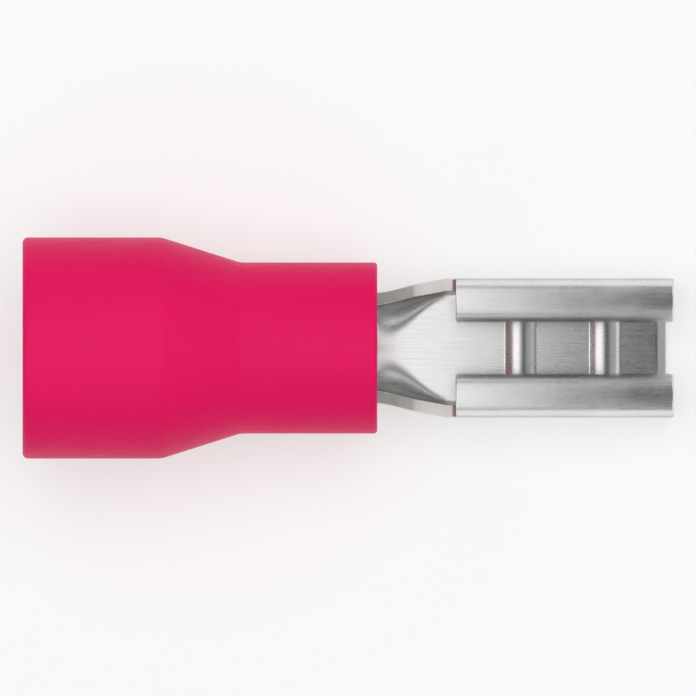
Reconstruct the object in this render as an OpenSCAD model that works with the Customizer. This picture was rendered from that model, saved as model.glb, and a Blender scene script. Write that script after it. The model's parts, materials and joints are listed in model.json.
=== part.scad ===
// Female spade terminal with an insulating sleeve, for a 2.8 mm tab and a small crimped wire.
// It has two pieces: a terminal rolled and folded from one metal strip, and the moulded sleeve
// that covers its barrel. Both are built with the wire's axis along X, from the wire end
// forwards. laid_down() then tips them the way the finished part comes to rest: on the
// shoulder of the sleeve's bell and on the two front corners of the receptacle's floor.

/* [Mating tab] */
// Width of the male tab
tab_w = 2.8; // [2.4:0.1:3.4]
// Thickness of the male tab
tab_t = 0.8; // [0.5:0.1:1]
// Free play between each edge of the tab and the wall beside it
tab_play = 0.15; // [0.05:0.05:0.4]
// How much the gap between ribs and rolls is tighter than the tab
tab_grip = 0.06; // [0:0.01:0.1]

/* [Metal strip] */
// Thickness of the strip
strip_t = 0.35; // [0.25:0.01:0.45]
// Outside radius of the bend between the floor and a wall
bend_r = 0.6; // [0.5:0.05:0.7]

/* [Receptacle] */
// Length of the walls and their rolled edges
roll_l = 5.95; // [5:0.05:8]
// Width of each roll, seen from above
roll_w = 1.2; // [1:0.05:1.3]
// How far the floor's front edge lies behind the front of the rolls
floor_setback = 0.2; // [0.1:0.05:0.6]
// Width of the notch that sets the floor back
notch_w = 2; // [1.6:0.1:2.2]
// Depth of the lead-in bevels on the floor and on the rolled edges
lead_in = 0.12; // [0.05:0.01:0.15]

/* [Contact ribs] */
// Height of the ribs that are pressed up from the floor
rib_h = 0.2; // [0.1:0.01:0.25]
// Width of each rib, measured along the tab
rib_w = 0.8; // [0.7:0.05:1.2]
// Distance from the front of the rolls back to the middle of the front rib
rib_back = 1.88; // [1.4:0.02:2.2]
// Distance between the middles of the two ribs
rib_pitch = 2.31; // [1.5:0.01:2.6]
// Flat floor left between the end of a rib and the bend beside it
rib_end_gap = 0.05; // [0.03:0.01:0.2]

/* [Neck] */
// Length of the open channel between the sleeve and the rolls
neck_l = 2.15; // [1.5:0.05:4]
// Straight stretch at the channel's front end, of full width
neck_straight = 0.27; // [0.1:0.01:0.6]
// How far the channel's edges dip between the barrel and the rolls
neck_dip = 0.35; // [0:0.05:0.5]
// How far the channel's edges end below the start of the rolls
neck_step = 0.06; // [0.03:0.01:0.2]

/* [Wire barrel] */
// Bore that takes the stripped conductor
barrel_bore = 2.4; // [1.7:0.05:3]
// Length of the barrel
barrel_l = 4.2; // [3:0.1:5]
// How far the front of the barrel lies inside the sleeve
barrel_recess = 0.6; // [0.5:0.05:1]
// Width of the seam along the top, where the strip's edges meet
seam_w = 0.08; // [0.04:0.01:0.2]
// Number of serrations, the shallow grooves round the bore
serrations = 3; // [1:1:4]
// Width of each serration
serration_w = 0.25; // [0.15:0.05:0.3]
// Depth of each serration
serration_depth = 0.06; // [0.03:0.01:0.1]

/* [Insulating sleeve] */
// Length of the sleeve
sleeve_l = 9.7; // [9.4:0.1:12]
// Bore of the bell that takes the wire with its insulation
bell_bore = 4.65; // [4.2:0.05:5]
// Wall of the bell
bell_wall = 0.7; // [0.5:0.05:1]
// Length of the bell's straight outside
bell_l = 3.8; // [3.2:0.1:4.4]
// Length of the outside taper between the bell and the grip
taper_l = 2.15; // [1.6:0.05:3]
// Wall of the sleeve round the barrel
grip_wall = 0.77; // [0.6:0.01:1]
// Clearance between the barrel and the sleeve
barrel_clear = 0.02; // [0.01:0.01:0.05]
// Length of the throat that covers the barrel's rear edge
throat_l = 0.3; // [0.2:0.05:0.5]
// Length of the funnel that guides the strands from the bell into the throat
funnel_l = 1.3; // [0.8:0.05:1.5]

/* [Rounding] */
// Radius of both edges at the bell's rim
bell_rim_r = 0.15; // [0.1:0.01:0.3]
// Radius of the outer edge at the grip's front
grip_rim_r = 0.1; // [0.05:0.01:0.3]
// Radius of the mouth's inner edge, round the neck
mouth_r = 0.08; // [0.04:0.01:0.15]
// Radius that blends the taper into the bell and into the grip
blend_r = 0.8; // [0.3:0.1:2]

/* [Hidden] */
$fn = 96;

SLEEVE_RED = [0.886, 0, 0.369];
TINNED = [0.78, 0.79, 0.8];

ARC_STEP = 7.5;       // degrees between the points of a rounded corner
EPS = 0.1;            // how far a cutting shape stands out of what it cuts
LAP = 0.2;            // how far the neck runs on inside the barrel's and receptacle's walls
INSET = 0.02;         // how far the neck's faces lie inside those walls at its ends
SECTION_STEPS = 18;   // steps of the neck's section, from its middle to an edge
FLARE_STEPS = 10;     // steps along the neck's flare
BEND_SHARE = 1;       // extra share of those steps that a bend gets, in mm for each radian

// Barrel and sleeve
barrel_r = barrel_bore / 2 + strip_t;
barrel_x = sleeve_l - barrel_recess - barrel_l;
barrel_end = barrel_x + barrel_l;
bell_r = bell_bore / 2 + bell_wall;
grip_bore_r = barrel_r + barrel_clear;
grip_r = grip_bore_r + grip_wall;
throat_x = barrel_x - throat_l;
funnel_x = throat_x - funnel_l;
rim_r = min(bell_rim_r, 0.45 * bell_wall);
front_rim_r = min(grip_rim_r, 0.45 * grip_wall);

// Receptacle, with heights measured up from the underside of its floor
receptacle_w = tab_w + 2 * (tab_play + strip_t);
wall_h = strip_t + rib_h + tab_t - tab_grip;
roll_r = roll_w / 2;
roll_y = receptacle_w / 2 - roll_r;
floor_half = receptacle_w / 2 - bend_r;
roll_x = sleeve_l + neck_l;
front_x = roll_x + roll_l;
flare_l = neck_l - neck_straight;
rib_r = (pow(rib_w / 2, 2) + pow(rib_h, 2)) / (2 * rib_h);
rib_half = floor_half - rib_end_gap - rib_w / 2;

// At rest the shoulder's blend at (shoulder_x, -shoulder_z) and the receptacle's lower front
// corner at (front_x, -barrel_r) both touch the ground.
taper_angle = atan2(bell_r - grip_r, taper_l);
shoulder_x = bell_l - blend_r * tan(taper_angle / 2);
shoulder_z = bell_r - blend_r;
span = [front_x - shoulder_x, shoulder_z - barrel_r];
rest_tilt = atan2(span.y, span.x) + asin(blend_r / norm(span));
rest_z = shoulder_x * sin(rest_tilt) + shoulder_z * cos(rest_tilt) + blend_r;
roll_top = wall_h + roll_r - barrel_r;
rear_x = rim_r * (cos(rest_tilt) - 1) - (bell_r - rim_r) * sin(rest_tilt);
nose_x = front_x * cos(rest_tilt) + roll_top * sin(rest_tilt);
rest_x = -(rear_x + nose_x) / 2;

// A unit vector along v
function unit(v) = v / norm(v);

function lerp(a, b, t) = a + (b - a) * t;

// Zero to one with a level start and end
function ease(t) = t * t * (3 - 2 * t);

// The points that round the corner p between a and b to the radius r
function rounded_corner(a, p, b, r) =
    let (
        to_a = unit(a - p),
        to_b = unit(b - p),
        half = acos(to_a * to_b) / 2,
        centre = p + unit(to_a + to_b) * r / sin(half),
        first = p + to_a * r / tan(half) - centre,
        last = p + to_b * r / tan(half) - centre,
        start = atan2(first.y, first.x),
        sweep = (atan2(last.y, last.x) - start + 540) % 360 - 180,
        steps = ceil(abs(sweep) / ARC_STEP)
    )
    [for (k = [0:steps]) let (angle = start + sweep * k / steps)
        centre + r * [cos(angle), sin(angle)]];

// A closed outline through corners given as [x, y, radius], where radius 0 stays sharp
function rounded_outline(corners) =
    let (
        n = len(corners),
        at = [for (c = corners) [c.x, c.y]]
    )
    [for (i = [0:n - 1]) each corners[i].z == 0
        ? [at[i]]
        : rounded_corner(at[(i + n - 1) % n], at[i], at[(i + 1) % n], corners[i].z)];

// Tips the part to the way it rests, with the middle of its footprint at the origin
module laid_down() {
    translate([rest_x, 0, rest_z]) rotate([0, rest_tilt, 0]) children();
}

// Sweeps a section, drawn with Y across and Z up, along X
module along_x(from, to) {
    translate([from, 0, 0]) rotate([90, 0, 90]) linear_extrude(to - from) children();
}

// Sweeps a profile, drawn with X forwards and Z up, across Y
module across_y(width) {
    rotate([90, 0, 0]) linear_extrude(width, center = true) children();
}

// A cylinder along X
module rod(r, from, to) {
    translate([from, 0, 0]) rotate([0, 90, 0]) cylinder(r = r, h = to - from);
}

// The part of a ring of strip, bent to the outside radius r, that lies in one quadrant
module quarter_bend(r, across, up) {
    intersection() {
        difference() {
            circle(r);
            circle(r - strip_t);
        }
        translate([across < 0 ? -r : 0, up < 0 ? -r : 0]) square(r);
    }
}

// Wire barrel: the strip rolled into a tube, with its seam on top and serrations in its bore
module wire_barrel() {
    difference() {
        rod(barrel_r, barrel_x, barrel_end);
        rod(barrel_bore / 2, barrel_x - EPS, barrel_end + EPS);
        for (k = [1:serrations]) {
            middle = barrel_x + barrel_l * k / (serrations + 1);
            rod(barrel_bore / 2 + serration_depth, middle - serration_w / 2, middle + serration_w / 2);
        }
        translate([barrel_x - EPS, -seam_w / 2, 0]) cube([barrel_l + 2 * EPS, seam_w, barrel_r + EPS]);
    }
}

// Neck: the strip as an open channel that goes from half a tube at the barrel to the
// receptacle's flat floor and square walls. Its section at x is half_width(x) wide to each
// side, bent to bend_at(x), and edge_height(x) high.
function flare_at(x) = min(1, max(0, (x - sleeve_l) / flare_l));
function half_width(x) = lerp(barrel_r, receptacle_w / 2, flare_at(x));
function bend_at(x) = lerp(barrel_r, bend_r, ease(flare_at(x)));
function edge_height(x) =
    let (t = min(1, max(0, (x - barrel_end) / (roll_x - barrel_end))))
    lerp(barrel_r, wall_h - neck_step, t) - neck_dip * sin(180 * t);

// The point at depth under the section's outer face, at the share t from the middle (0) to
// the right (1) or left (-1) edge. Distances are counted along the strip, with more for a
// bend, so that the tightest bend still gets enough points.
function section_point(x, t, depth) =
    let (
        r = bend_at(x),
        flat = half_width(x) - r,
        edge = edge_height(x),
        bend_angle = edge < r ? acos(1 - edge / r) : 90,
        per_degree = (r + BEND_SHARE) * PI / 180,
        bend_len = bend_angle * per_degree,
        wall_len = max(0, edge - r),
        along = abs(t) * (flat + bend_len + wall_len),
        angle = min(bend_angle, max(0, (along - flat) / per_degree)),
        across = min(along, flat) + (r - depth) * sin(angle),
        up = r - (r - depth) * cos(angle) + max(0, along - flat - bend_len)
    )
    [x, sign(t) * across, up - barrel_r];

module neck() {
    stations = [
        [barrel_end - LAP, INSET],
        [barrel_end + LAP, 0],
        for (k = [0:FLARE_STEPS]) [sleeve_l + flare_l * k / FLARE_STEPS, 0],
        [roll_x + LAP, INSET]
    ];
    across = [for (k = [-SECTION_STEPS:SECTION_STEPS]) k / SECTION_STEPS];
    rows = len(stations);
    columns = len(across);
    outer = [for (s = stations) each [for (t = across) section_point(s[0], t, s[1])]];
    inner = [for (s = stations) each [for (t = across) section_point(s[0], t, strip_t - s[1])]];
    function o(i, j) = i * columns + j;
    function n(i, j) = rows * columns + o(i, j);
    quads = [
        for (i = [0:rows - 2], j = [0:columns - 2]) each [
            [o(i, j), o(i + 1, j), o(i + 1, j + 1), o(i, j + 1)],
            [n(i, j), n(i, j + 1), n(i + 1, j + 1), n(i + 1, j)]
        ],
        for (i = [0:rows - 2]) let (j = columns - 1) each [
            [n(i, 0), n(i + 1, 0), o(i + 1, 0), o(i, 0)],
            [o(i, j), o(i + 1, j), n(i + 1, j), n(i, j)]
        ],
        for (j = [0:columns - 2]) let (i = rows - 1) each [
            [o(0, j), o(0, j + 1), n(0, j + 1), n(0, j)],
            [n(i, j), n(i, j + 1), o(i, j + 1), o(i, j)]
        ]
    ];
    triangles = [for (q = quads) each [[q[0], q[1], q[2]], [q[0], q[2], q[3]]]];
    polyhedron(concat(outer, inner), triangles);
}

// The folded section of the receptacle, from the floor's underside up
module receptacle_section() {
    translate([-floor_half, 0]) square([2 * floor_half, strip_t]);
    for (side = [0, 1]) mirror([side, 0]) {
        translate([floor_half, bend_r]) quarter_bend(bend_r, 1, -1);
        translate([receptacle_w / 2 - strip_t, bend_r]) square([strip_t, wall_h - bend_r]);
        translate([roll_y, wall_h]) {
            quarter_bend(roll_r, 1, 1);
            quarter_bend(roll_r, -1, 1);
        }
    }
}

// A bar of radius r across the floor, with round ends and its axis at the given height
module cross_bar(r, height) {
    translate([0, 0, height]) {
        rotate([90, 0, 0]) cylinder(r = r, h = 2 * rib_half, center = true);
        for (side = [-1, 1]) translate([0, side * rib_half, 0]) sphere(r);
    }
}

module at_ribs() {
    for (k = [0, 1]) translate([front_x - rib_back - k * rib_pitch, 0, 0]) children();
}

// Receptacle: floor, walls and rolls, with two ribs pressed up across the floor
module receptacle() {
    translate([0, 0, -barrel_r]) difference() {
        union() {
            along_x(roll_x, front_x) receptacle_section();
            at_ribs() intersection() {
                cross_bar(rib_r, strip_t + rib_h - rib_r);
                translate([0, 0, strip_t / 2 + rib_r]) cube(2 * [rib_r, receptacle_w, rib_r], center = true);
            }
        }
        at_ribs() cross_bar(rib_h, 0);
        // Notch that sets the floor back
        translate([front_x - floor_setback, -notch_w / 2, -EPS])
            cube([floor_setback + EPS, notch_w, strip_t + 2 * EPS]);
        // Bevel on the floor's front edge
        translate([front_x - floor_setback, 0, strip_t]) across_y(notch_w)
            polygon([[-2 * lead_in, 0], [0, -lead_in], [0, EPS], [-2 * lead_in, EPS]]);
        // Bevel under the front ends of the rolled edges
        translate([front_x, 0, wall_h]) across_y(2 * roll_y)
            polygon([[-2 * lead_in, 0], [0, lead_in], [EPS, lead_in], [EPS, -EPS], [-2 * lead_in, -EPS]]);
    }
}

// The terminal as one piece of strip: barrel, neck and receptacle
module metal_terminal() {
    color(TINNED) laid_down() union() {
        wire_barrel();
        neck();
        receptacle();
    }
}

// Sleeve: bell for the insulated wire, funnel, throat and the grip round the barrel
module insulating_sleeve() {
    throat_r = barrel_bore / 2;
    profile = rounded_outline([
        [bell_r, 0, rim_r],
        [bell_r, bell_l, blend_r],
        [grip_r, bell_l + taper_l, blend_r],
        [grip_r, sleeve_l, front_rim_r],
        [grip_bore_r, sleeve_l, mouth_r],
        [grip_bore_r, barrel_x, 0],
        [throat_r, barrel_x, 0],
        [throat_r, throat_x, 0],
        [bell_bore / 2, funnel_x, 0],
        [bell_bore / 2, 0, rim_r]
    ]);
    color(SLEEVE_RED) laid_down() rotate([0, 90, 0]) rotate_extrude() polygon(profile);
}

metal_terminal();
insulating_sleeve();
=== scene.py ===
"""Female spade terminal: the looks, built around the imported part.

Shapes are worked out in part coordinates: millimetres, X along the wire's axis from the sleeve's
rear rim forwards, Y across, Z up through the rolls. placed() puts them where the frame says.
"""
import json
import math

import bmesh
import bpy
import numpy as np
from mathutils import Matrix, Vector


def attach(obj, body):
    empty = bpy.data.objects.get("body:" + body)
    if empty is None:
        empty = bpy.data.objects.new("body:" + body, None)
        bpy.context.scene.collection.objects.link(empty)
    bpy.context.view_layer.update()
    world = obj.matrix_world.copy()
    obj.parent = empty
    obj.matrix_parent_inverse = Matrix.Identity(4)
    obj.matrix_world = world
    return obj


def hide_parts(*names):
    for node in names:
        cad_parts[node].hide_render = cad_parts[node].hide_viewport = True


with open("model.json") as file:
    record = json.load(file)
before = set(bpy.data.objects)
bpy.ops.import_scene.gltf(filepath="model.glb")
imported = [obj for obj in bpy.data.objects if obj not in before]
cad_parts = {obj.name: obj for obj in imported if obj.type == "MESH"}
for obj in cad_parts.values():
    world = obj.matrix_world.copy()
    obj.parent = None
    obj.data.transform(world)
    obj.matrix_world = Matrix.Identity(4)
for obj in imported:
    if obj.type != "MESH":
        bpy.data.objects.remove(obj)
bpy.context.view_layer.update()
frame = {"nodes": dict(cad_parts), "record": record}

MM = 0.001

# ---------------------------------------------------------------- what the frame says
mounts = {m["name"]: m for m in frame["record"]["mounts"]}
forward = Vector(mounts["tab_socket"]["axis"]).normalized()
across = Vector((0, 1, 0))
upward = forward.cross(across)
barrel_middle = Vector(mounts["conductor_barrel"]["pos_m"])


def node_points(node):
    return np.array([v.co for v in frame["nodes"][node].data.vertices])


# Part coordinates start at the middle of the sleeve's rear rim.
rear = ((node_points("insulating_sleeve") - np.array(barrel_middle)) @ np.array(forward)).min()
origin = barrel_middle + forward * rear
PART = Matrix.Translation(origin) @ Matrix(
    [[forward[k], across[k], upward[k]] for k in range(3)]).to_4x4() @ Matrix.Scale(MM, 4)


def part_points(node):
    """The vertices of a CAD node, in part coordinates."""
    inverse = np.array(PART.inverted())
    return node_points(node) @ inverse[:3, :3].T + inverse[:3, 3]


sleeve_points = part_points("insulating_sleeve")
metal_points = part_points("metal_terminal")

SLEEVE_L, BELL_R = sleeve_points.max(0)[:2]
FRONT_X, HALF_W = metal_points.max(0)[:2]
BARREL_X = metal_points.min(0)[0]
BARREL_R = -metal_points.min(0)[2]
last_millimetre = metal_points[metal_points[:, 0] > FRONT_X - 1]
ROLL_TOP = last_millimetre.max(0)[2]
BELL_BORE_R = mounts["wire_entry"]["dims"]["r_mm"]
BORE_R = mounts["conductor_barrel"]["dims"]["r_mm"]
BARREL_END = BARREL_X + mounts["conductor_barrel"]["dims"]["length_mm"]

# ---------------------------------------------------------------- sizes of the strip and its folds
STRIP_T = BARREL_R - BORE_R
BEND_R = 0.6            # outside radius of the bend between floor and wall
ROLL_R = 0.6            # outside radius of the rolled edges
ROLL_L = 5.95
ROLL_X = FRONT_X - ROLL_L
WALL_H = ROLL_TOP + BARREL_R - ROLL_R
FLOOR_HALF = HALF_W - BEND_R
FLOOR_SETBACK = 0.2     # from the front of the rolls back to the floor's front edge
FLOOR_FRONT = FRONT_X - FLOOR_SETBACK
NOTCH_HALF = 1.0        # half the width of the notch that sets the floor back
LEAD_IN = 0.12          # depth of the lead-in bevels, which are twice as long
RIB_H = 0.2
RIB_HALF_W = 0.4
RIB_BACK = 1.88         # from the front of the rolls back to the middle of the front rib
RIB_PITCH = 2.31
RIBS = 2
RIB_END_GAP = 0.05      # flat floor between a rib's end and the bend
RIB_BLEND = 0.03        # over which a rib's or groove's side runs out into the floor
GROOVE_HALF_W = 0.25    # of the groove that pressing a rib leaves underneath
NECK_STRAIGHT = 0.27    # square channel between the flare and the rolls
NECK_DIP = 0.35         # how far the neck's edges dip between the barrel and the rolls
NECK_STEP = 0.06        # how far they end under the straight wall's top
SEAM_W = 0.08           # gap where the barrel's edges meet on top
SERRATIONS = 3          # grooves round the barrel's bore that bite into the strands
SERRATION_W = 0.25
SERRATION_DEPTH = 0.06
SERRATION_SLOPE = 0.04  # length over which a serration reaches its depth
NOTCH_R = 0.12          # radius in the inner corners of the cut strip
CORNER_R = 0.1          # radius on its outer corners
EDGE_R = 0.035          # rounding of the sheared edges

# ---------------------------------------------------------------- spacing of the strip's mesh
PLAIN_STEP = 0.1        # flat stretches
BARREL_STEP = 0.15      # along the barrel
BARREL_TURN_STEP = 0.08     # round the barrel
BEND_STEP = 0.06        # round bends and rolls, and along the start of the neck
FLARE_STEP = 0.04       # along the neck's flare
FRONT_STEP = 0.05       # along the straight stretches before the rolls and at their front
BEVEL_STEP = 0.03       # along the lead-in bevels, and across the round ends of the ribs
RIB_STEP = 0.024        # along the tab over a rib
RIB_MARGIN = 0.08       # how far that reaches past the rib
RIB_ENDS_FROM = 0.7     # distance from the middle at which the ribs' round ends need close columns
SAME = 1e-4             # values closer than this count as one
AT_ONCE = 2000          # points measured at a time, to save memory
TERMINAL_SHARP = math.radians(60)   # edges that turn by more than this stay sharp

# ---------------------------------------------------------------- sizes of the sleeve
BELL_L = 3.8
TAPER_L = 2.15
GRIP_WALL = 0.77
BARREL_CLEAR = 0.02
THROAT_L = 0.3
FUNNEL_L = 1.3
RIM_R = 0.15            # radius of both edges at the bell's rim
FRONT_RIM_R = 0.1       # radius of the outer edge at the grip's front
MOUTH_R = 0.08          # radius of the inner edge there
BLEND_R = 0.8           # radius where the taper begins and ends
THROAT_R = 0.08         # radius where the funnel meets the throat
FUNNEL_R = 0.3          # radius where the bell's bore meets the funnel
SLEEVE_TURNS = 192      # points round the sleeve
SLEEVE_SHARP = math.radians(40)


# ================================================================ mesh helpers
def new_object(name, vertices, faces):
    mesh = bpy.data.meshes.new(name)
    mesh.from_pydata([tuple(v) for v in vertices], [], faces)
    mesh.update()
    made = bpy.data.objects.new(name, mesh)
    bpy.context.scene.collection.objects.link(made)
    return made


def placed(drawn, name):
    """Applies the modifiers of a piece drawn in part coordinates and puts it in the row frame."""
    bpy.context.view_layer.update()
    evaluated = drawn.evaluated_get(bpy.context.evaluated_depsgraph_get())
    mesh = bpy.data.meshes.new_from_object(evaluated)
    mesh.transform(PART)
    mesh.name = name
    made = bpy.data.objects.new(name, mesh)
    bpy.context.scene.collection.objects.link(made)
    bpy.data.objects.remove(drawn)
    return made


def smooth_max(a, b, k):
    """The larger of a and b, with the change from one to the other rounded over k."""
    h = np.clip(0.5 + 0.5 * (a - b) / k, 0, 1)
    return b + (a - b) * h + k * h * (1 - h)


def shade(piece, sharp_from):
    """Turns the faces outwards and shades them smooth, apart from edges sharper than an angle."""
    bm = bmesh.new()
    bm.from_mesh(piece.data)
    bmesh.ops.recalc_face_normals(bm, faces=bm.faces)
    for face in bm.faces:
        face.smooth = True
    for edge in bm.edges:
        edge.smooth = edge.calc_face_angle(0) < sharp_from
    bm.to_mesh(piece.data)
    bm.free()


def steps(start, end, size):
    """Values from start up to, but not including, end, about size apart."""
    count = max(1, round((end - start) / size))
    return [start + (end - start) * k / count for k in range(count)]


def distinct(values):
    """Sorted values without those that lie almost on the one before."""
    kept = []
    for value in sorted(values):
        if not kept or value - kept[-1] > SAME:
            kept.append(value)
    return np.array(kept)


# ================================================================ the folded strip
# A place on the strip is x along the part and s along the strip's outer face, from its middle.
def flare(x):
    return np.clip((x - SLEEVE_L) / (ROLL_X - NECK_STRAIGHT - SLEEVE_L), 0, 1)


def bend_radius(x):
    t = flare(x)
    return BARREL_R + (BEND_R - BARREL_R) * t * t * (3 - 2 * t)


def half_width(x):
    return BARREL_R + (HALF_W - BARREL_R) * flare(x)


def corner_rise(distance, radius):
    """How far a corner's rounding departs from one of its edges, at a distance from the other."""
    inside = np.clip(radius - distance, 0, radius)
    return radius - np.sqrt(radius ** 2 - inside ** 2)


def neck_edge(x):
    """Distance along the strip from its middle to the neck's edge."""
    t = np.clip((x - BARREL_END) / (ROLL_X - BARREL_END), 0, 1)
    height = BARREL_R + (WALL_H - NECK_STEP - BARREL_R) * t - NECK_DIP * np.sin(math.pi * t)
    bend = bend_radius(x)
    flat = half_width(x) - bend
    turned = bend * np.arccos(np.clip(1 - height / bend, 0, 1))
    edge = flat + turned + np.maximum(0, height - bend)
    return edge + corner_rise(x - BARREL_END, NOTCH_R) + corner_rise(ROLL_X - x, NOTCH_R)


def rib_middles():
    return [FRONT_X - RIB_BACK - k * RIB_PITCH for k in range(RIBS)]


def serration_middles():
    spacing = (BARREL_END - BARREL_X) / (SERRATIONS + 1)
    return [BARREL_X + spacing * k for k in range(1, SERRATIONS + 1)]


def rib_distance(x, y):
    """Distance in the plane of the floor to the nearest rib's middle line."""
    half = FLOOR_HALF - RIB_END_GAP - RIB_HALF_W
    along = np.min([np.abs(x - middle) for middle in rib_middles()], axis=0)
    return np.hypot(along, np.maximum(np.abs(y) - half, 0))


def pressed(distance, half_w):
    """Height of a pressed ridge of round section at a distance from its middle line."""
    radius = (half_w ** 2 + RIB_H ** 2) / (2 * RIB_H)
    arc = np.sqrt(np.maximum(radius ** 2 - distance ** 2, 0)) - (radius - RIB_H)
    return smooth_max(arc, np.zeros_like(arc), RIB_BLEND)


def serrated(x):
    """Depth of the serrations in the barrel's bore."""
    depth = np.zeros_like(x)
    for middle in serration_middles():
        inside = ((SERRATION_W + SERRATION_SLOPE) / 2 - np.abs(x - middle)) / SERRATION_SLOPE
        depth = np.maximum(depth, SERRATION_DEPTH * np.clip(inside, 0, 1))
    return depth


def bevelled(x, front):
    """How much a lead-in bevel that ends at front has taken off at x."""
    return LEAD_IN * np.clip((x - front + 2 * LEAD_IN) / (2 * LEAD_IN), 0, 1)


def folded(x, s, depth):
    """The points of the folded strip at x and s, depth under its outer face."""
    a = np.abs(s)
    bend = bend_radius(x)
    flat = half_width(x) - bend
    turn = np.where(x <= SLEEVE_L, math.pi, math.pi / 2)
    wall_from = flat + bend * turn
    roll_from = wall_from + WALL_H - bend
    rolling = x > ROLL_X - NECK_STRAIGHT
    first = np.clip((a - flat) / bend, 0, turn)
    second = np.clip((a - roll_from) / ROLL_R, 0, math.pi) * rolling
    on_wall = np.maximum(a - wall_from, 0) - np.maximum(a - roll_from, 0) * rolling
    angle = first + second
    y = np.minimum(a, flat) + bend * np.sin(first)
    z = bend * (1 - np.cos(first)) + on_wall
    rolled = second > 0
    y = np.where(rolled, HALF_W - ROLL_R + ROLL_R * np.cos(second), y)
    z = np.where(rolled, WALL_H + ROLL_R * np.sin(second), z)
    y = y - depth * np.sin(angle)
    z = z + depth * np.cos(angle)
    return np.stack([x, np.sign(s) * y, z - BARREL_R], -1)


def outer_depth(x, s):
    """Depth of the outer face: the grooves under the ribs."""
    return pressed(rib_distance(x, s), GROOVE_HALF_W)


def inner_depth(x, s):
    """Depth of the inner face: the strip's thickness, its ribs, serrations and floor bevel."""
    bevel = bevelled(x, FLOOR_FRONT) * (np.abs(s) <= NOTCH_HALF + SAME)
    return STRIP_T + pressed(rib_distance(x, s), RIB_HALF_W) - serrated(x) - bevel


# ================================================================ the terminal's mesh
def edge_offsets():
    """Distances from a sheared edge at which the mesh gets a line, so that the edge is round."""
    return [EDGE_R * (1 - math.cos(math.radians(a))) for a in (0, 30, 60, 90)]


def round_off(distance):
    """How far both faces sink at a distance from a sheared edge."""
    inside = np.clip(EDGE_R - distance, 0, EDGE_R)
    return EDGE_R - np.sqrt(EDGE_R ** 2 - inside ** 2)


def lengthwise_stations():
    """Places along X of the mesh's rows: close together at ribs, serrations and round corners."""
    quarter = [1 - math.cos(math.radians(a)) for a in range(0, 91, 10)]
    xs = []
    for edge, inwards in ((BARREL_X, 1), (BARREL_END, -1), (ROLL_X, 1), (FLOOR_FRONT, -1), (FRONT_X, -1)):
        xs += [edge + inwards * d for d in edge_offsets()]
    for corner, signed_radius in ((BARREL_END, NOTCH_R), (ROLL_X, -NOTCH_R),
                                  (ROLL_X, CORNER_R), (FRONT_X, -CORNER_R)):
        xs += [corner + signed_radius * q for q in quarter]
    for middle in serration_middles():
        for to_side in (-SERRATION_W / 2, SERRATION_W / 2):
            xs += [middle + to_side - SERRATION_SLOPE / 2, middle + to_side + SERRATION_SLOPE / 2]
    xs += steps(BARREL_X + EDGE_R, BARREL_END - EDGE_R, BARREL_STEP)
    xs += steps(BARREL_END + NOTCH_R, SLEEVE_L, BEND_STEP)
    xs += steps(SLEEVE_L, ROLL_X - NECK_STRAIGHT, FLARE_STEP)
    xs += steps(ROLL_X - NECK_STRAIGHT, ROLL_X - NOTCH_R, FRONT_STEP)
    at = ROLL_X + CORNER_R
    for middle in sorted(rib_middles()):
        reach = RIB_HALF_W + RIB_MARGIN
        xs += steps(at, middle - reach, PLAIN_STEP)
        xs += steps(middle - reach, middle + reach, RIB_STEP)
        at = middle + reach
    xs += steps(at, FLOOR_FRONT - 2 * LEAD_IN, PLAIN_STEP)
    xs += steps(FLOOR_FRONT - 2 * LEAD_IN, FLOOR_FRONT - EDGE_R, BEVEL_STEP)
    xs += steps(FLOOR_FRONT, FRONT_X - EDGE_R, FRONT_STEP)
    return distinct(xs)


def crosswise_columns():
    """Distances along the receptacle's section, as two lists: to the neck's edge and beyond it."""
    core_end = float(neck_edge(np.array(ROLL_X)))
    bend_end = FLOOR_HALF + BEND_R * math.pi / 2
    roll_from = bend_end + WALL_H - BEND_R
    lip = roll_from + ROLL_R * math.pi
    core = steps(0, RIB_ENDS_FROM, PLAIN_STEP) + steps(RIB_ENDS_FROM, FLOOR_HALF, BEVEL_STEP)
    core += [NOTCH_HALF + d for d in edge_offsets()]
    core += steps(FLOOR_HALF, bend_end, BEND_STEP) + steps(bend_end, roll_from, PLAIN_STEP)
    core += steps(roll_from, core_end - EDGE_R, BEND_STEP) + [core_end - d for d in edge_offsets()]
    beyond = steps(core_end, lip - EDGE_R, BEND_STEP)[1:] + [lip - d for d in edge_offsets()]
    return distinct(core), distinct(beyond)


def barrel_columns():
    """Distances along the barrel's section from the neck's edge round to the seam."""
    seam_at = BARREL_R * math.pi - SEAM_W / 2
    barrel_from = float(neck_edge(np.array(BARREL_END)))
    columns = steps(barrel_from, seam_at - EDGE_R, BARREL_TURN_STEP)[1:]
    return distinct(columns + [seam_at - d for d in edge_offsets()])


def edge_distance(points, sides):
    """Distance in the flat strip from each point to the nearest of the cut sides."""
    a, b = points[sides[:, 0]], points[sides[:, 1]]
    along = b - a
    length = (along ** 2).sum(1)
    nearest = np.empty(len(points))
    for start in range(0, len(points), AT_ONCE):
        p = points[start:start + AT_ONCE, None, :]
        t = np.clip(((p - a) * along).sum(2) / length, 0, 1)
        nearest[start:start + AT_ONCE] = np.sqrt(((p - a - along * t[..., None]) ** 2).sum(2)).min(1)
    return nearest


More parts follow.
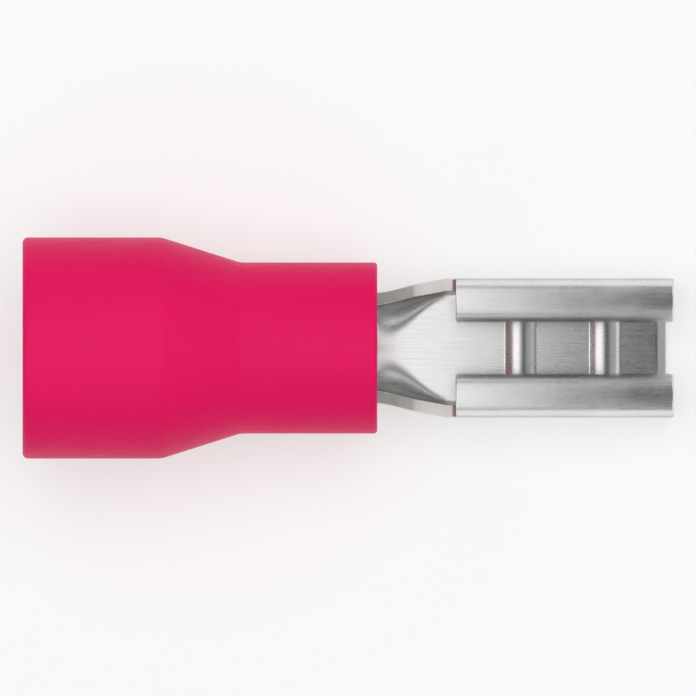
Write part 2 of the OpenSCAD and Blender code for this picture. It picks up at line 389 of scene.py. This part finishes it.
def flat_strip():
    """The strip laid flat: each vertex's x and s, and the faces between them."""
    xs = lengthwise_stations()
    core, beyond = crosswise_columns()
    barrel_side = barrel_columns()
    last = len(core) - 1
    edge_columns = core[-1] - core      # distance of each column from the neck's edge
    inner_share = core / (core[-1] - EDGE_R)
    lip_cut = bevelled(xs, FRONT_X)
    lip_cut += corner_rise(xs - ROLL_X, CORNER_R) + corner_rise(FRONT_X - xs, CORNER_R)
    where, index = [], {}

    def place(i, k):
        """Distance from the strip's middle to row i's column k."""
        x = xs[i]
        if k <= last:
            edge = float(neck_edge(np.array(min(max(x, BARREL_END), ROLL_X))))
            if edge_columns[k] < EDGE_R:
                return edge - edge_columns[k]
            return inner_share[k] * (edge - EDGE_R)
        if x <= BARREL_END:
            return barrel_side[k - last - 1]
        reach = (beyond[-1] - lip_cut[i] - core[-1]) / (beyond[-1] - core[-1])
        return core[-1] + (beyond[k - last - 1] - core[-1]) * reach

    def vertex(i, j):
        if (i, j) not in index:
            index[i, j] = len(where)
            where.append((xs[i], math.copysign(place(i, abs(j)), j) if j else 0.0))
        return index[i, j]

    faces = []
    notch_column = int(np.argmin(np.abs(core - NOTCH_HALF)))
    for i in range(len(xs) - 1):
        middle = (xs[i] + xs[i + 1]) / 2
        side = barrel_side if middle < BARREL_END else beyond if middle > ROLL_X else []
        for j in range(-last - len(side), last + len(side)):
            if middle < FLOOR_FRONT or not -notch_column <= j < notch_column:
                faces.append([vertex(i, j), vertex(i, j + 1), vertex(i + 1, j + 1), vertex(i + 1, j)])
    return np.array(where), faces


def strip_mesh():
    """The folded strip as a closed mesh: vertices, faces, each vertex's place when flat and
    how near it is to a sheared edge, from 0 to 1."""
    where, faces = flat_strip()
    sides = {pair for f in faces for pair in zip(f, f[1:] + f[:1])}
    cut = sorted(pair for pair in sides if pair[::-1] not in sides)
    x, s = where.T
    distance = edge_distance(where, np.array(cut))
    sunk = round_off(distance)
    outer = folded(x, s, outer_depth(x, s) + sunk)
    inner = folded(x, s, inner_depth(x, s) - sunk)
    count = len(where)
    rims = [[a, b, b + count, a + count] for a, b in cut]
    both = faces + [[v + count for v in reversed(f)] for f in faces] + rims
    sheared = np.clip(1 - distance / (EDGE_R / 2), 0, 1)
    return np.concatenate([outer, inner]), both, np.concatenate([where, where]), np.tile(sheared, 2)


def build_terminal():
    vertices, faces, where, sheared = strip_mesh()
    drawn = new_object("terminal_drawn", vertices, faces)
    strip = drawn.data.attributes.new("strip", "FLOAT_VECTOR", "POINT")
    strip.data.foreach_set("vector", np.pad(where, ((0, 0), (0, 1))).astype(np.float32).ravel())
    edge = drawn.data.attributes.new("sheared", "FLOAT", "POINT")
    edge.data.foreach_set("value", sheared.astype(np.float32))
    shade(drawn, TERMINAL_SHARP)
    weighted = drawn.modifiers.new("weighted", "WEIGHTED_NORMAL")
    weighted.keep_sharp = True
    return placed(drawn, "terminal_strip")


terminal = build_terminal()
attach(terminal, "root")
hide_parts("metal_terminal")


# ================================================================ the sleeve
def rounded_corner(a, p, b, radius, step=math.radians(5)):
    """Points that round the corner p between a and b."""
    to_a = (a - p) / np.linalg.norm(a - p)
    to_b = (b - p) / np.linalg.norm(b - p)
    half = math.acos(float(to_a @ to_b)) / 2
    bisector = (to_a + to_b) / np.linalg.norm(to_a + to_b)
    centre = p + bisector * radius / math.sin(half)
    first = p + to_a * radius / math.tan(half) - centre
    final = p + to_b * radius / math.tan(half) - centre
    start = math.atan2(first[1], first[0])
    sweep = (math.atan2(final[1], final[0]) - start + 3 * math.pi) % (2 * math.pi) - math.pi
    count = max(2, math.ceil(abs(sweep) / step))
    return [centre + radius * np.array([math.cos(start + sweep * k / count),
                                        math.sin(start + sweep * k / count)])
            for k in range(count + 1)]


def sleeve_profile():
    """Closed outline of the sleeve's wall as (x, radius), from the rear rim round the outside."""
    grip_bore_r = BARREL_R + BARREL_CLEAR
    grip_r = grip_bore_r + GRIP_WALL
    corners = [
        (0, BELL_R, RIM_R),
        (BELL_L, BELL_R, BLEND_R),
        (BELL_L + TAPER_L, grip_r, BLEND_R),
        (SLEEVE_L, grip_r, FRONT_RIM_R),
        (SLEEVE_L, grip_bore_r, MOUTH_R),
        (BARREL_X, grip_bore_r, 0),
        (BARREL_X, BORE_R, 0),
        (BARREL_X - THROAT_L, BORE_R, THROAT_R),
        (BARREL_X - THROAT_L - FUNNEL_L, BELL_BORE_R, FUNNEL_R),
        (0, BELL_BORE_R, RIM_R),
    ]
    points = []
    for k, (x, r, radius) in enumerate(corners):
        before, after = corners[k - 1], corners[(k + 1) % len(corners)]
        here = np.array([x, r])
        if radius:
            points += rounded_corner(np.array(before[:2]), here, np.array(after[:2]), radius)
        else:
            points.append(here)
    return points


def build_sleeve():
    profile = sleeve_profile()
    vertices = []
    for x, r in profile:
        for k in range(SLEEVE_TURNS):
            angle = 2 * math.pi * k / SLEEVE_TURNS
            vertices.append((x, r * math.cos(angle), r * math.sin(angle)))
    faces = []
    for i in range(len(profile)):
        here = i * SLEEVE_TURNS
        there = (i + 1) % len(profile) * SLEEVE_TURNS
        for k in range(SLEEVE_TURNS):
            turned = (k + 1) % SLEEVE_TURNS
            faces.append([here + k, here + turned, there + turned, there + k])
    drawn = new_object("sleeve_drawn", vertices, faces)
    shade(drawn, SLEEVE_SHARP)
    return placed(drawn, "sleeve_moulding")


sleeve = build_sleeve()
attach(sleeve, "root")
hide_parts("insulating_sleeve")


# ================================================================ materials
class Nodes:
    """A short way to build the nodes of one material, lamp or world."""

    def __init__(self, owner):
        owner.use_nodes = True
        self.tree = owner.node_tree
        self.shader = self.tree.nodes.get("Principled BSDF")

    def add(self, kind, **values):
        """Adds a node; a value goes to its property, or to the input, of that name."""
        node = self.tree.nodes.new(kind)
        for key, value in values.items():
            if hasattr(node, key):
                setattr(node, key, value)
            else:
                node.inputs[key.replace("_", " ")].default_value = value
        return node

    def link(self, source, target):
        self.tree.links.new(source, target)

    def feed(self, target, value):
        """Links an output to an input, or sets the input to a number."""
        if isinstance(value, (int, float)):
            target.default_value = value
        else:
            self.link(value, target)

    def noise(self, vector, scale, detail=2.0, roughness=0.5):
        node = self.add("ShaderNodeTexNoise", Scale=scale, Detail=detail, Roughness=roughness)
        self.link(vector, node.inputs["Vector"])
        return node.outputs["Fac"]

    def stretched(self, vector, scale):
        node = self.add("ShaderNodeMapping", Scale=scale)
        self.link(vector, node.inputs["Vector"])
        return node.outputs["Vector"]

    def spread(self, value, low, high, start=0.3, end=0.7):
        """value, from start to end, as a number from low to high."""
        node = self.add("ShaderNodeMapRange", From_Min=start, From_Max=end, To_Min=low, To_Max=high)
        self.link(value, node.inputs["Value"])
        return node.outputs["Result"]

    def mix_colour(self, factor, a, b):
        """Colour a where factor is 0 and b where it is 1."""
        node = self.add("ShaderNodeMix", data_type="RGBA")
        self.link(factor, node.inputs["Factor"])
        for socket, colour in ((node.inputs[6], a), (node.inputs[7], b)):
            if isinstance(colour, tuple):
                socket.default_value = (*colour, 1)
            else:
                self.link(colour, socket)
        return node.outputs[2]

    def blend(self, factor, a, b):
        """Number a where factor is 0 and b where it is 1."""
        node = self.add("ShaderNodeMix", data_type="FLOAT")
        self.link(factor, node.inputs["Factor"])
        self.feed(node.inputs["A"], a)
        self.feed(node.inputs["B"], b)
        return node.outputs["Result"]

    def math(self, operation, a, b=0):
        node = self.add("ShaderNodeMath", operation=operation)
        self.feed(node.inputs[0], a)
        self.feed(node.inputs[1], b)
        return node.outputs["Value"]

    def bump(self, height, distance, under=None):
        node = self.add("ShaderNodeBump", Distance=distance)
        self.link(height, node.inputs["Height"])
        if under is not None:
            self.link(under, node.inputs["Normal"])
        return node.outputs["Normal"]


MICRON = 0.000001
BY_MILLIMETRE = (1000, 1000, 1000)      # makes a noise's scale count by the millimetre

TIN_LIGHT = (0.86, 0.86, 0.85)
TIN_DARK = (0.78, 0.78, 0.775)
TIN_EDGE = (0.6, 0.59, 0.57)    # the bare sheared edges
TIN_GRAZING = 0.55              # how much light the plating still mirrors at a grazing angle
TIN_ROUGH = (0.26, 0.33)        # from cloud to cloud
LINES_ROUGH = 0.05              # how much a rolling line is rougher or smoother
EDGE_ROUGH = 0.12               # how much rougher the sheared edges are
ROLLING_LINES = (0.7, 26, 1)    # long along the strip and narrow across it
LINES_DEEP = 3 * MICRON
PITS_DEEP = 1.2 * MICRON

PVC_RED = (0.775, 0.0, 0.109)
PVC_DEEP = (0.725, 0.0, 0.099)
PVC_GLOSS = 0.12                # how strongly it mirrors, where 0.5 is usual
PVC_ROUGH = (0.4, 0.46)         # from cloud to cloud
SKIN_ROUGH = 0.04               # how much the fine skin makes it rougher or smoother
FLOW_CLOUDS = (250, 700, 700)   # drawn out along the sleeve
SKIN_DEEP = 12 * MICRON
WAVES_DEEP = 30 * MICRON


def tinned_strip():
    """Tin plate: fine rolling lines along the strip, faint clouding, duller sheared edges."""
    made = bpy.data.materials.new("tinned_strip")
    n = Nodes(made)
    flat = n.add("ShaderNodeAttribute", attribute_name="strip").outputs["Vector"]
    sheared = n.add("ShaderNodeAttribute", attribute_name="sheared").outputs["Fac"]
    space = n.stretched(n.add("ShaderNodeTexCoord").outputs["Object"], BY_MILLIMETRE)
    lines = n.noise(n.stretched(flat, ROLLING_LINES), scale=1, detail=4, roughness=0.65)
    clouds = n.noise(space, scale=0.9, detail=4, roughness=0.6)
    pits = n.noise(space, scale=22)
    plate = n.mix_colour(n.spread(clouds, 0, 1), TIN_DARK, TIN_LIGHT)
    n.link(n.mix_colour(sheared, plate, TIN_EDGE), n.shader.inputs["Base Color"])
    n.shader.inputs["Metallic"].default_value = 1
    n.shader.inputs["Specular Tint"].default_value = (TIN_GRAZING, TIN_GRAZING, TIN_GRAZING, 1)
    plate_rough = n.math("ADD", n.spread(lines, -LINES_ROUGH, LINES_ROUGH), n.spread(clouds, *TIN_ROUGH))
    rough = n.math("ADD", plate_rough, n.math("MULTIPLY", sheared, EDGE_ROUGH))
    n.link(rough, n.shader.inputs["Roughness"])
    grain = n.bump(lines, LINES_DEEP)
    n.link(n.bump(pits, PITS_DEEP, under=grain), n.shader.inputs["Normal"])
    return made


def red_pvc():
    """Moulded PVC: even red with a soft gloss, faint flow clouds, a fine skin and low waves."""
    made = bpy.data.materials.new("red_pvc")
    n = Nodes(made)
    raw = n.add("ShaderNodeTexCoord").outputs["Object"]
    space = n.stretched(raw, BY_MILLIMETRE)
    flow = n.noise(n.stretched(raw, FLOW_CLOUDS), scale=0.8, detail=3)
    skin = n.noise(space, scale=14, detail=3, roughness=0.6)
    waves = n.noise(space, scale=1.6, detail=1)
    n.link(n.mix_colour(n.spread(flow, 0, 1), PVC_DEEP, PVC_RED), n.shader.inputs["Base Color"])
    rough = n.math("ADD", n.spread(skin, -SKIN_ROUGH, SKIN_ROUGH), n.spread(flow, *PVC_ROUGH))
    n.link(rough, n.shader.inputs["Roughness"])
    n.shader.inputs["Specular IOR Level"].default_value = PVC_GLOSS
    grain = n.bump(skin, SKIN_DEEP)
    n.link(n.bump(waves, WAVES_DEEP, under=grain), n.shader.inputs["Normal"])
    return made


terminal.data.materials.append(tinned_strip())
sleeve.data.materials.append(red_pvc())

# ================================================================ studio
FLOOR_SIZE = 6          # metres
FLOOR_PALE = (0.92, 0.92, 0.92, 1)
FLOOR_GLOW = 0.5        # share of the floor's own white where it is seen
WHITE = (1, 1, 1, 1)
WORLD_LIGHT = 0.5       # what the surroundings add to the light on matt surfaces
WALL_TOP = 0.05         # sine of the height up to which reflections show white surroundings
CEILING_FROM = 0.25     # sine of the height from which they show the ceiling
CEILING = 0.04          # how bright that ceiling is

# Lamps, in part coordinates. The key lights matt surfaces and isn't reflected. The panel is what
# glossy surfaces reflect, and adds no light to matt ones.
KEY_AT = (20, 95, 720)
KEY_SIZE = (840, 840)
KEY_BRIGHT = 1.65
PANEL_REAR, PANEL_FRONT = -30, 50
PANEL_WIDTH, PANEL_HEIGHT = 80, 13
PANEL_BRIGHT = 1.2      # over the sleeve and the neck
PANEL_DIM = 0.03        # over the receptacle's front
PANEL_AHEAD = 0.35      # ahead of the part, for what slopes forwards
PANEL_WINGS = 0.9       # ahead and to both sides, for the neck's flanks
FADE = (11, 16.3)       # from bright to dim, along the part
RISE = (21, 27)         # from dim to the brightness ahead
WINGS_FORWARD = (20, 22)
WINGS_ASIDE = (6, 12)

CAMERA_HEIGHT = 0.1     # metres, as are both clips
CAMERA_CLIPS = (0.001, 2)
LENGTH_SHARE = 0.9353   # how much of the picture's width the part's length takes


def seen_directly(n):
    """1 for camera, mirror and see-through rays, and 0 for the light that the surface sends on."""
    path = n.add("ShaderNodeLightPath")
    seen = n.math("MAXIMUM", path.outputs["Is Camera Ray"], path.outputs["Is Glossy Ray"])
    return n.math("MAXIMUM", seen, path.outputs["Is Transmission Ray"])


def studio_floor():
    """A pale floor that looks white where nothing shades it."""
    bpy.ops.mesh.primitive_plane_add(size=FLOOR_SIZE)
    made = bpy.context.object
    made.name = "studio_floor"
    made.data.materials.append(bpy.data.materials.new("pale_floor"))
    n = Nodes(made.data.materials[0])
    n.shader.inputs["Base Color"].default_value = FLOOR_PALE
    n.shader.inputs["Roughness"].default_value = 1
    n.shader.inputs["Specular IOR Level"].default_value = 0
    glow = n.add("ShaderNodeEmission", Strength=1)
    shown = n.add("ShaderNodeMixShader")
    n.link(n.math("MULTIPLY", seen_directly(n), FLOOR_GLOW), shown.inputs["Fac"])
    n.link(n.shader.outputs[0], shown.inputs[1])
    n.link(glow.outputs[0], shown.inputs[2])
    n.link(shown.outputs[0], n.tree.nodes["Material Output"].inputs["Surface"])


def studio_world():
    """Pale surroundings, white where they are seen, with a dimmer ceiling in the reflections."""
    world = bpy.data.worlds.new("studio")
    bpy.context.scene.world = world
    n = Nodes(world)
    background = n.tree.nodes["Background"]
    direction = n.add("ShaderNodeSeparateXYZ")
    n.link(n.add("ShaderNodeTexCoord").outputs["Generated"], direction.inputs[0])
    walls = n.spread(direction.outputs["Z"], 1, CEILING, WALL_TOP, CEILING_FROM)
    path = n.add("ShaderNodeLightPath")
    mirrored = n.math("MAXIMUM", path.outputs["Is Glossy Ray"], path.outputs["Is Transmission Ray"])
    reflected = n.blend(mirrored, WORLD_LIGHT, walls)
    n.link(n.blend(path.outputs["Is Camera Ray"], reflected, 1), background.inputs["Strength"])
    background.inputs["Color"].default_value = WHITE


def area_lamp(name, centre, size, radiance, reflected):
    """An area lamp that faces the part: its centre and size, and the radiance of its surface.

    It is either only reflected by glossy surfaces or only lights matt ones."""
    data = bpy.data.lights.new(name, "AREA")
    data.shape = "RECTANGLE"
    data.size, data.size_y = (s * MM for s in size)
    data.energy = radiance * math.pi * data.size * data.size_y
    lamp = bpy.data.objects.new(name, data)
    bpy.context.scene.collection.objects.link(lamp)
    lamp.location = PART @ Vector(centre)
    away = (lamp.location - PART @ Vector((min(max(centre[0], 0), FRONT_X), 0, 0))).normalized()
    side = across.cross(away).normalized()
    lamp.rotation_mode = "QUATERNION"
    lamp.rotation_quaternion = Matrix([side, away.cross(side), away]).transposed().to_quaternion()
    lamp.visible_camera = False
    lamp.visible_diffuse = not reflected
    lamp.visible_glossy = reflected
    return lamp


def graded_panel():
    """The panel that glossy surfaces reflect, bright or dim by the place over or round the part."""
    middle = (PANEL_REAR + PANEL_FRONT) / 2
    size = (PANEL_FRONT - PANEL_REAR, PANEL_WIDTH)
    lamp = area_lamp("graded_panel", (middle, 0, PANEL_HEIGHT), size, 1, reflected=True)
    n = Nodes(lamp.data)
    place = n.add("ShaderNodeVectorMath", operation="SUBTRACT")
    n.link(n.add("ShaderNodeNewGeometry").outputs["Position"], place.inputs[0])
    place.inputs[1].default_value = origin

    def millimetres(direction):
        """How far a place on the panel lies from the part's origin in a direction."""
        product = n.add("ShaderNodeVectorMath", operation="DOT_PRODUCT")
        n.link(place.outputs["Vector"], product.inputs[0])
        product.inputs[1].default_value = direction / MM
        return product.outputs["Value"]

    along = millimetres(forward)
    aside = n.math("ABSOLUTE", millimetres(across))
    fade = n.spread(along, PANEL_BRIGHT, PANEL_DIM, *FADE)
    ahead = n.spread(along, PANEL_DIM, PANEL_AHEAD, *RISE)
    wings = n.math("MULTIPLY", n.spread(along, 0, PANEL_WINGS, *WINGS_FORWARD),
                   n.spread(aside, 0, 1, *WINGS_ASIDE))
    strength = n.math("MAXIMUM", n.math("MAXIMUM", fade, ahead), wings)
    n.link(strength, n.tree.nodes["Emission"].inputs["Strength"])


def camera_above():
    """A camera that looks square down on the part, as the rolls face."""
    data = bpy.data.cameras.new("camera")
    data.type = "ORTHO"
    data.ortho_scale = FRONT_X * MM / LENGTH_SHARE
    data.clip_start, data.clip_end = CAMERA_CLIPS
    camera = bpy.data.objects.new("camera", data)
    bpy.context.scene.collection.objects.link(camera)
    camera.location = PART @ Vector((FRONT_X / 2, 0, 0)) + upward * CAMERA_HEIGHT
    camera.rotation_mode = "QUATERNION"
    camera.rotation_quaternion = PART.to_quaternion()
    bpy.context.scene.camera = camera


studio_floor()
studio_world()
graded_panel()
area_lamp("key", KEY_AT, KEY_SIZE, KEY_BRIGHT, reflected=False)
camera_above()
bpy.context.scene.view_settings.view_transform = "Standard"
